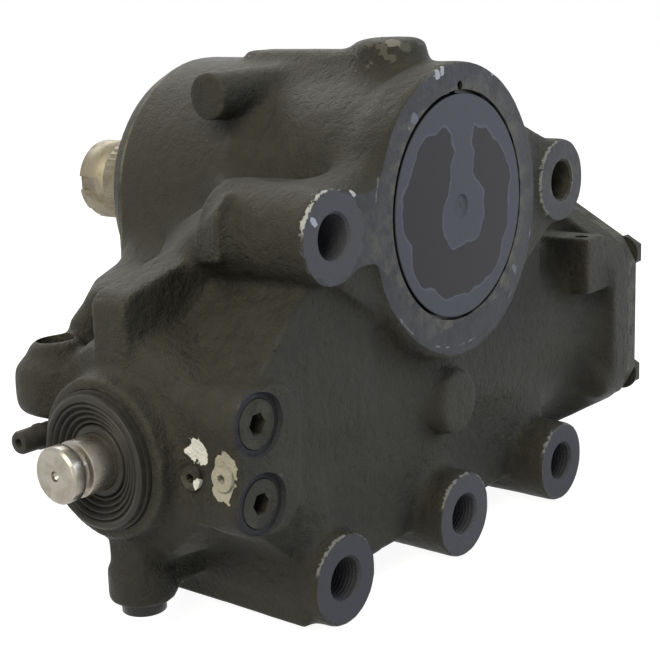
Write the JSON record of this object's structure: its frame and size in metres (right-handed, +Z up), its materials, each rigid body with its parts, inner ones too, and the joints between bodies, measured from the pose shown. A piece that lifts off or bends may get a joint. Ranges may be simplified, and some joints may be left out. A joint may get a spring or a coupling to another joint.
{
  "type": "steering gearbox",
  "caption": "Hydraulic recirculating-ball truck steering gear: cast housing with mounting lugs, input stub in a rubber boot, side cover, end cover and splined output shaft.",
  "frame": {"origin": "on the sector axis in the mounting plane, halfway between the two upper mounting holes", "axes": "+X along the worm towards the end cover, +Y along the sector shaft towards its splined end, +Z up"},
  "size_m": [0.4065, 0.2525, 0.265],
  "materials": {
    "painted_casting": "satin paint over sand-cast iron",
    "painted_cover": "satin paint on a machined face",
    "painted_bolts": "satin paint",
    "ground_steel": "ground and oiled",
    "bright_steel": "turned",
    "output_steel": "turned, lightly tarnished",
    "bearing_steel": "polished",
    "spring_steel": "blued",
    "black_plugs": "black oxide",
    "seal_rubber": "moulded",
    "boot_rubber": "moulded, folded",
    "ring_polymer": "filled polymer",
    "cap_plastic": "moulded"
  },
  "bodies": {
    "housing": {"housing": "painted_casting", "side_cover": "painted_cover", "side_cover_seal": "seal_rubber", "side_cover_snap_ring": "spring_steel", "end_cover": "painted_casting", "end_cover_bolts": "painted_bolts", "end_cover_seal": "seal_rubber", "front_bearing_race": "bearing_steel", "front_needles": "bearing_steel", "rear_bearing_race": "bearing_steel", "rear_needles": "bearing_steel", "output_seal": "seal_rubber", "output_seal_ring": "spring_steel", "output_dust_seal": "seal_rubber", "worm_bearing_race": "bearing_steel", "worm_bearing_balls": "bearing_steel", "worm_bearing_nut": "spring_steel", "input_seal": "seal_rubber", "input_seal_ring": "spring_steel", "dust_boot": "boot_rubber", "channel_plugs": "black_plugs", "limiter_screws": "black_plugs", "bottom_plug": "black_plugs", "bleed_nipple": "black_plugs", "bleed_cap": "cap_plastic"},
    "sector": {"sector_shaft": "output_steel"},
    "piston": {"piston": "ground_steel", "piston_ring": "ring_polymer", "piston_ring_backing": "seal_rubber", "recirculating_balls": "bearing_steel", "ball_return_tube": "spring_steel", "tube_clamp": "ground_steel", "tube_clamp_screws": "spring_steel"},
    "worm": {"worm": "ground_steel", "valve_rings": "ring_polymer", "worm_pin": "spring_steel"},
    "input": {"input_shaft": "bright_steel", "torsion_bar": "spring_steel", "input_pin": "spring_steel"}
  },
  "joints": [
    {"name": "sector_turn", "type": "hinge", "parent": "housing", "child": "sector", "pos_m": [0, 0.1, 0], "axis": [0, 1, 0], "range_deg": [-45, 45]},
    {"name": "piston_slide", "type": "slide", "parent": "housing", "child": "piston", "axis": [1, 0, 0], "range_m": [-0.03701, 0.03701]},
    {"name": "worm_turn", "type": "hinge", "parent": "housing", "child": "worm", "pos_m": [-0.08, 0.078, -0.095], "axis": [1, 0, 0], "range_deg": [-831.06, 831.06]},
    {"name": "valve_twist", "type": "hinge", "parent": "worm", "child": "input", "pos_m": [-0.14, 0.078, -0.095], "axis": [1, 0, 0], "range_deg": [-4, 4], "stiffness_Nm_per_rad": 120}
  ],
  "couplings": [
    {"joint": "piston_slide", "follows": "sector_turn", "m_per_rad": -0.047},
    {"joint": "worm_turn", "follows": "sector_turn", "ratio": 18.457}
  ]
}
